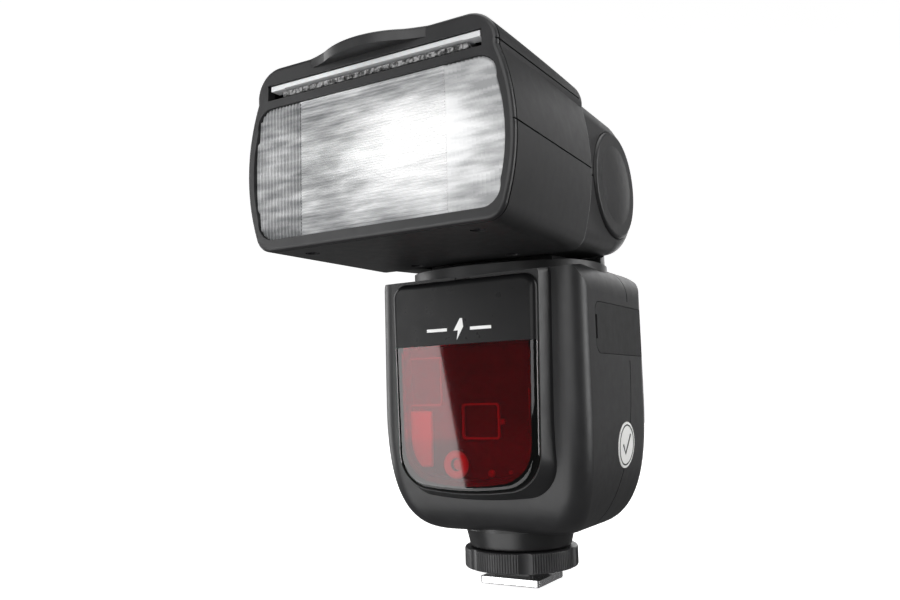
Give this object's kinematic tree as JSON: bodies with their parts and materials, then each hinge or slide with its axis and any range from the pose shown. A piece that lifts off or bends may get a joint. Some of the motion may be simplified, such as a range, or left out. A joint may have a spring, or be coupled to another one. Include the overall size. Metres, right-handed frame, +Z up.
{
  "type": "speedlight flash",
  "caption": "Shoe-mount camera flash with a wide tilting and panning zoom head, red window, rear controls, side battery and knurled lock ring.",
  "frame": {"origin": "centre of the shoe plate's underside, where the flash meets a camera's hot shoe", "axes": "+Z up from the shoe to the head, -Y the way the lamp head and red window face, +X towards the side with the port door"},
  "size_m": [0.0766, 0.1088, 0.1384],
  "materials": {
    "plated_steel": "bright nickel plate",
    "black_plastic": "satin moulded",
    "gold_contacts": "plated",
    "bright_steel": "turned",
    "ring_plastic": "satin, knurled",
    "dark_screws": "black oxide",
    "case_plastic": "fine matte moulded",
    "cap_plastic": "satin moulded",
    "red_window": "polished transparent red",
    "inner_dark": "matte",
    "assist_lens": "moulded red lens",
    "circuit_board": "solder mask",
    "battery_plastic": "fine matte moulded",
    "button_plastic": "satin",
    "door_rubber": "matte",
    "socket_metal": "plated",
    "capacitor_sleeve": "shrink sleeve",
    "panel_plastic": "satin",
    "display_glass": "polished window",
    "display_dark": "panel",
    "label_paper": "printed gloss sticker",
    "slip_plastic": "acetal",
    "fresnel_clear": "clear moulded, ribbed",
    "polished_reflector": "polished",
    "tube_glass": "clear",
    "white_plastic": "satin"
  },
  "bodies": {
    "body": {"shoe_plate": "plated_steel", "shoe_block": "black_plastic", "foot_neck": "black_plastic", "foot_screws": "dark_screws", "front_case": "case_plastic", "rear_case": "case_plastic", "front_panel": "case_plastic", "red_window": "red_window", "assist_holder": "inner_dark", "assist_lens": "assist_lens", "assist_board": "circuit_board", "battery_contacts": "gold_contacts", "sync_socket": "socket_metal", "usb_socket": "socket_metal", "main_board": "circuit_board", "main_capacitor": "capacitor_sleeve", "control_panel": "panel_plastic", "display_window": "display_glass", "display_module": "display_dark", "button_board": "circuit_board", "round_label": "label_paper", "case_screws": "dark_screws", "pan_bearing": "slip_plastic"},
    "contacts": {"contact_pins": "gold_contacts"},
    "lock_pin": {"lock_pin": "bright_steel"},
    "clamp": {"clamp_washer": "bright_steel"},
    "ring": {"lock_ring": "ring_plastic"},
    "battery": {"battery": "battery_plastic"},
    "battery_key": {"battery_latch": "button_plastic"},
    "door": {"port_door": "door_rubber"},
    "dial": {"select_dial": "button_plastic"},
    "set_key": {"set_button": "button_plastic"},
    "switch": {"power_switch": "button_plastic"},
    "menu_key_1": {"menu_button_1": "button_plastic"},
    "menu_key_2": {"menu_button_2": "button_plastic"},
    "menu_key_3": {"menu_button_3": "button_plastic"},
    "menu_key_4": {"menu_button_4": "button_plastic"},
    "mode_key": {"mode_button": "button_plastic"},
    "test_key": {"test_button": "button_plastic"},
    "wireless_key": {"wireless_button": "button_plastic"},
    "neck": {"turret": "case_plastic", "pan_clip": "bright_steel", "tilt_axle": "bright_steel", "friction_washers": "bright_steel", "axle_nuts": "bright_steel"},
    "head": {"head_lower_shell": "case_plastic", "head_upper_shell": "case_plastic", "head_top_cap": "case_plastic", "head_screws": "dark_screws", "fresnel_lens": "fresnel_clear", "ear_caps": "cap_plastic", "tilt_bushes": "slip_plastic", "guide_rod": "bright_steel", "zoom_motor": "socket_metal"},
    "zoom": {"zoom_carriage": "inner_dark", "reflector": "polished_reflector", "flash_tube": "tube_glass"},
    "zoom_screw": {"lead_screw": "bright_steel"},
    "wide_panel": {"wide_panel": "fresnel_clear"},
    "catchlight": {"catchlight_panel": "white_plastic"}
  },
  "joints": [
    {"name": "pan", "type": "hinge", "parent": "body", "child": "neck", "pos_m": [0, -0.001, 0.0875], "axis": [0, 0, 1], "range_deg": [-180, 180]},
    {"name": "tilt", "type": "hinge", "parent": "neck", "child": "head", "pos_m": [0, -0.001, 0.112], "axis": [-1, 0, 0], "range_deg": [0, 90]},
    {"name": "panel_slide", "type": "slide", "parent": "head", "child": "wide_panel", "axis": [0, -1, 0], "range_m": [0, 0.044]},
    {"name": "catchlight_slide", "type": "slide", "parent": "head", "child": "catchlight", "axis": [0, -1, 0], "range_m": [0, 0.044]},
    {"name": "zoom_turn", "type": "hinge", "parent": "head", "child": "zoom_screw", "pos_m": [-0.0285, -0.05, 0.0985], "axis": [0, 1, 0], "range_deg": [0, 2160]},
    {"name": "zoom_travel", "type": "slide", "parent": "head", "child": "zoom", "axis": [0, 1, 0], "range_m": [0, 0.014]},
    {"name": "ring_turn", "type": "hinge", "parent": "body", "child": "ring", "pos_m": [0, 0, 0.008], "axis": [0, 0, 1], "range_deg": [0, 270]},
    {"name": "clamp_travel", "type": "slide", "parent": "body", "child": "clamp", "axis": [0, 0, -1], "range_m": [0, 0.0018]},
    {"name": "pin_travel", "type": "slide", "parent": "body", "child": "lock_pin", "axis": [0, 0, -1], "range_m": [0, 0.0018]},
    {"name": "contact_press", "type": "slide", "parent": "body", "child": "contacts", "axis": [0, 0, 1], "range_m": [0, 0.0006], "stiffness_N_per_m": 1500},
    {"name": "battery_slide", "type": "slide", "parent": "body", "child": "battery", "axis": [-1, 0, 0], "range_m": [0, 0.058]},
    {"name": "battery_key_press", "type": "slide", "parent": "battery", "child": "battery_key", "axis": [1, 0, 0], "range_m": [0, 0.001], "stiffness_N_per_m": 500},
    {"name": "door_swing", "type": "hinge", "parent": "body", "child": "door", "pos_m": [0.0309, 0.021, 0.0711], "axis": [0, 0, 1], "range_deg": [0, 90]},
    {"name": "dial_turn", "type": "hinge", "parent": "body", "child": "dial", "pos_m": [0, 0.0296, 0.037], "axis": [0, 1, 0], "continuous": true},
    {"name": "set_press", "type": "slide", "parent": "body", "child": "set_key", "axis": [0, -1, 0], "range_m": [0, 0.0006], "stiffness_N_per_m": 600},
    {"name": "switch_slide", "type": "slide", "parent": "body", "child": "switch", "axis": [0, 0, 1], "range_m": [0, 0.0032]},
    {"name": "menu_press_1", "type": "slide", "parent": "body", "child": "menu_key_1", "axis": [0, -1, 0], "range_m": [0, 0.0006], "stiffness_N_per_m": 600},
    {"name": "menu_press_2", "type": "slide", "parent": "body", "child": "menu_key_2", "axis": [0, -1, 0], "range_m": [0, 0.0006], "stiffness_N_per_m": 600},
    {"name": "menu_press_3", "type": "slide", "parent": "body", "child": "menu_key_3", "axis": [0, -1, 0], "range_m": [0, 0.0006], "stiffness_N_per_m": 600},
    {"name": "menu_press_4", "type": "slide", "parent": "body", "child": "menu_key_4", "axis": [0, -1, 0], "range_m": [0, 0.0006], "stiffness_N_per_m": 600},
    {"name": "mode_press", "type": "slide", "parent": "body", "child": "mode_key", "axis": [0, -1, 0], "range_m": [0, 0.0006], "stiffness_N_per_m": 600},
    {"name": "test_press", "type": "slide", "parent": "body", "child": "test_key", "axis": [0, -1, 0], "range_m": [0, 0.0006], "stiffness_N_per_m": 600},
    {"name": "wireless_press", "type": "slide", "parent": "body", "child": "wireless_key", "axis": [0, -1, 0], "range_m": [0, 0.0006], "stiffness_N_per_m": 600}
  ],
  "couplings": [
    {"joint": "zoom_turn", "follows": "zoom_travel", "rad_per_m": 2692.5},
    {"joint": "ring_turn", "follows": "clamp_travel", "rad_per_m": 2617.7},
    {"joint": "pin_travel", "follows": "clamp_travel", "ratio": 0.9999}
  ]
}
